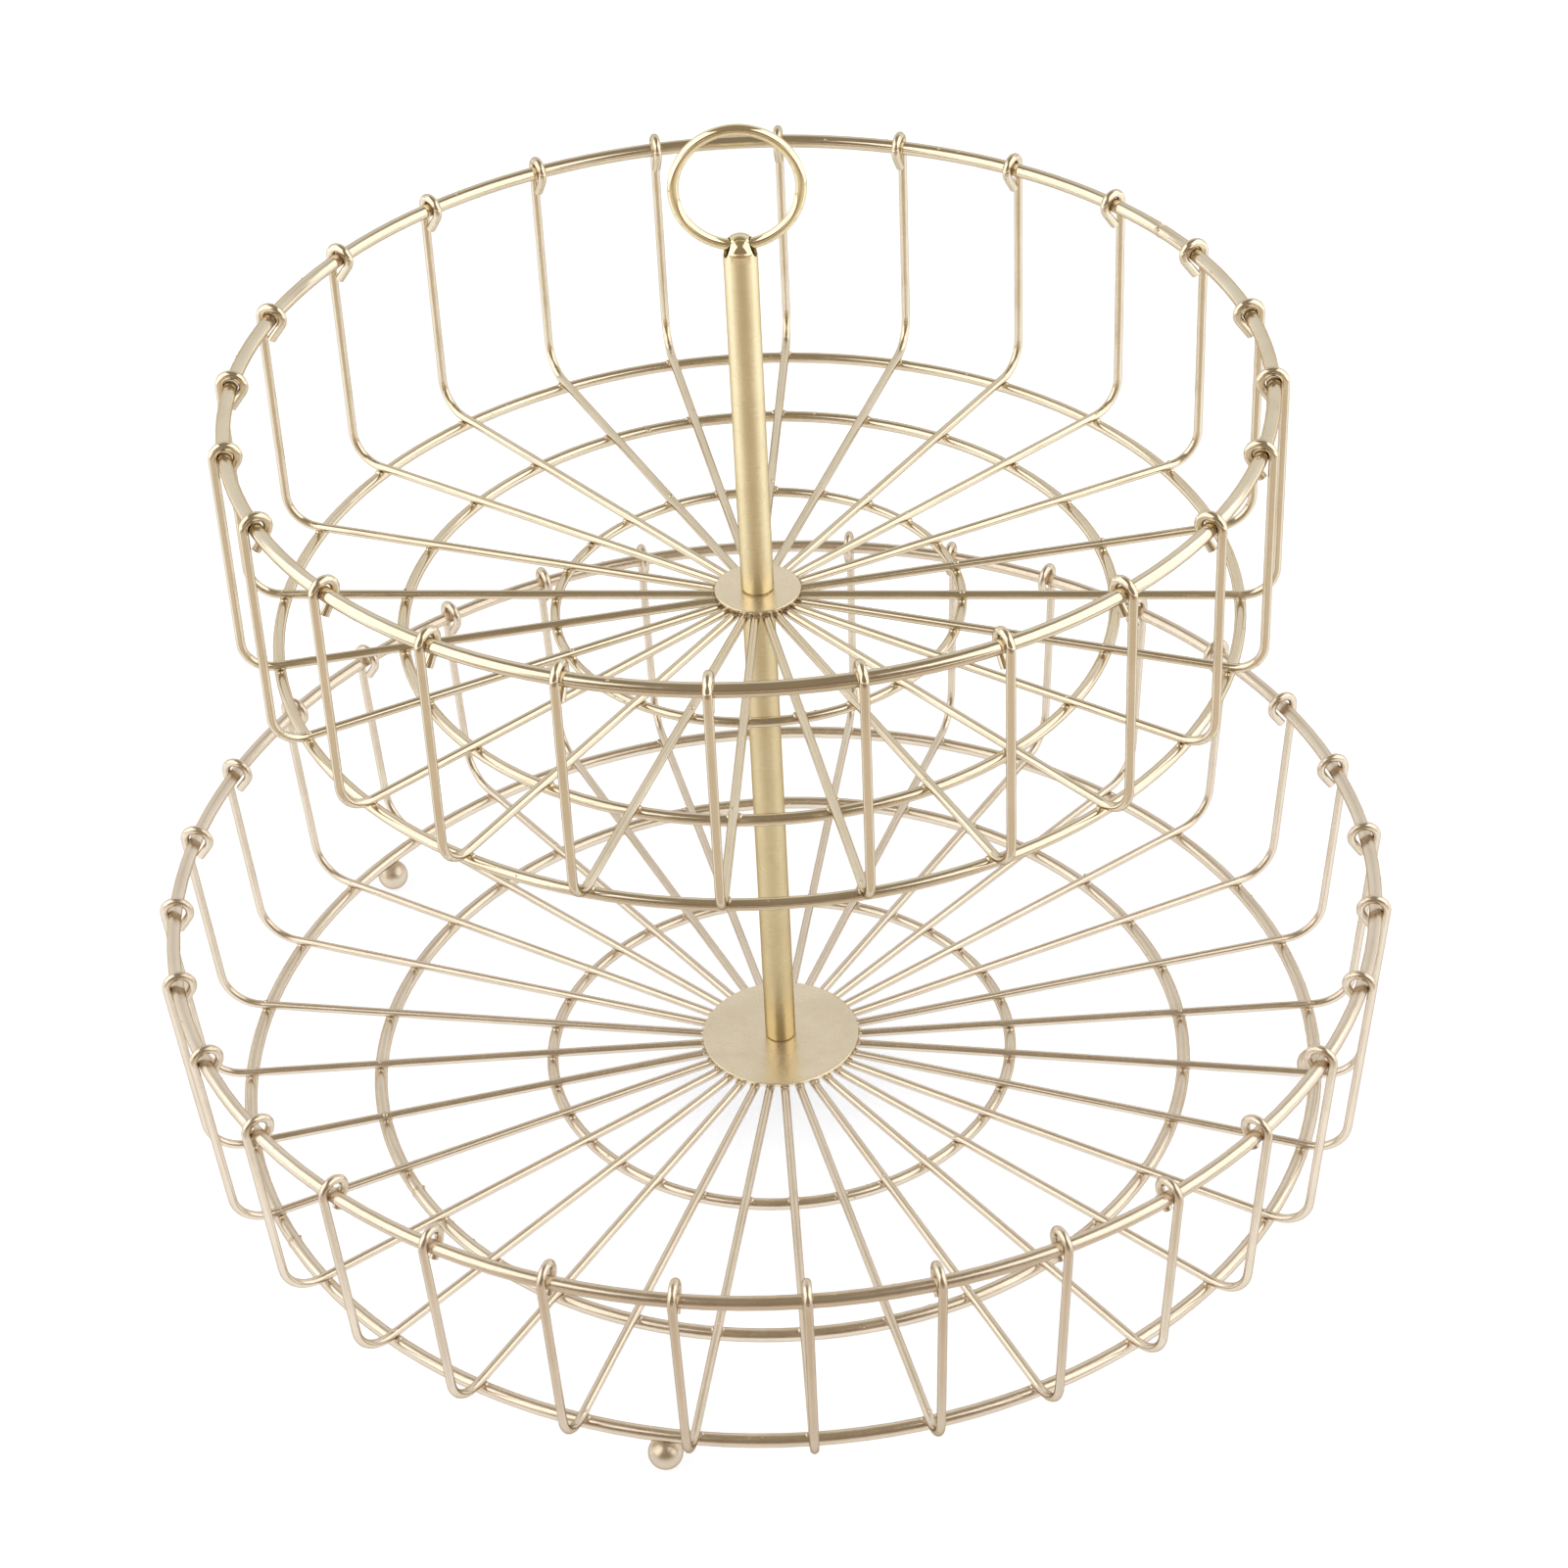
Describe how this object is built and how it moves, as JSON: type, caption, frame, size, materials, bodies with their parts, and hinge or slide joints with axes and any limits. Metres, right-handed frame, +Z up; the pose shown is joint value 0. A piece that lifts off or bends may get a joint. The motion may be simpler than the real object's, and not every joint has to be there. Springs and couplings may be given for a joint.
{
  "type": "tiered wire basket",
  "caption": "Tiered round wire basket on a central pole: hooked spokes over thick rims, open floors, ball feet and a ring handle, for fruit or small things",
  "frame": {"origin": "on the pole's axis, on the surface that the ball feet stand on", "axes": "+Z up along the pole, -Y towards the viewer of the picture, +X to the viewer's right"},
  "size_m": [0.3156, 0.3156, 0.2826],
  "materials": {
    "wire_gold": "satin champagne gold paint",
    "disc_gold": "semi-gloss champagne gold paint",
    "foot_gold": "satin champagne gold paint",
    "tube_gold": "satin gold plate",
    "handle_gold": "polished gold plate",
    "insert_brass": "turned brass",
    "fastener_zinc": "zinc plate"
  },
  "bodies": {
    "lower_basket": {"lower_rim": "wire_gold", "lower_outer_ring": "wire_gold", "lower_middle_ring": "wire_gold", "lower_inner_ring": "wire_gold", "lower_disc": "disc_gold", "lower_spoke_pair_01": "wire_gold", "lower_spoke_pair_02": "wire_gold", "lower_spoke_pair_03": "wire_gold", "lower_spoke_pair_04": "wire_gold", "lower_spoke_pair_05": "wire_gold", "lower_spoke_pair_06": "wire_gold", "lower_spoke_pair_07": "wire_gold", "lower_spoke_pair_08": "wire_gold", "lower_spoke_pair_09": "wire_gold", "lower_spoke_pair_10": "wire_gold", "lower_spoke_pair_11": "wire_gold", "lower_spoke_pair_12": "wire_gold", "lower_spoke_pair_13": "wire_gold", "lower_spoke_pair_14": "wire_gold", "lower_spoke_pair_15": "wire_gold", "lower_spoke_pair_16": "wire_gold", "front_ball_foot": "foot_gold", "left_ball_foot": "foot_gold", "right_ball_foot": "foot_gold", "lower_tube": "tube_gold", "lower_tube_base_insert": "insert_brass", "lower_tube_top_insert": "insert_brass", "joining_stud": "fastener_zinc", "base_screw": "fastener_zinc", "base_washer": "fastener_zinc"},
    "upper_basket": {"upper_rim": "wire_gold", "upper_outer_ring": "wire_gold", "upper_middle_ring": "wire_gold", "upper_inner_ring": "wire_gold", "upper_disc": "disc_gold", "upper_spoke_pair_01": "wire_gold", "upper_spoke_pair_02": "wire_gold", "upper_spoke_pair_03": "wire_gold", "upper_spoke_pair_04": "wire_gold", "upper_spoke_pair_05": "wire_gold", "upper_spoke_pair_06": "wire_gold", "upper_spoke_pair_07": "wire_gold", "upper_spoke_pair_08": "wire_gold", "upper_spoke_pair_09": "wire_gold", "upper_spoke_pair_10": "wire_gold", "upper_spoke_pair_11": "wire_gold", "upper_spoke_pair_12": "wire_gold"},
    "handle_post": {"upper_tube": "tube_gold", "upper_tube_insert": "insert_brass", "ring_handle": "handle_gold"}
  },
  "joints": [
    {"name": "upper_basket_turn", "type": "hinge", "parent": "lower_basket", "child": "upper_basket", "pos_m": [0, 0, 0.15685], "axis": [0, 0, 1], "continuous": true},
    {"name": "handle_post_lift", "type": "slide", "parent": "lower_basket", "child": "handle_post", "axis": [0, 0, 1], "range_m": [0, 0.012]}
  ]
}
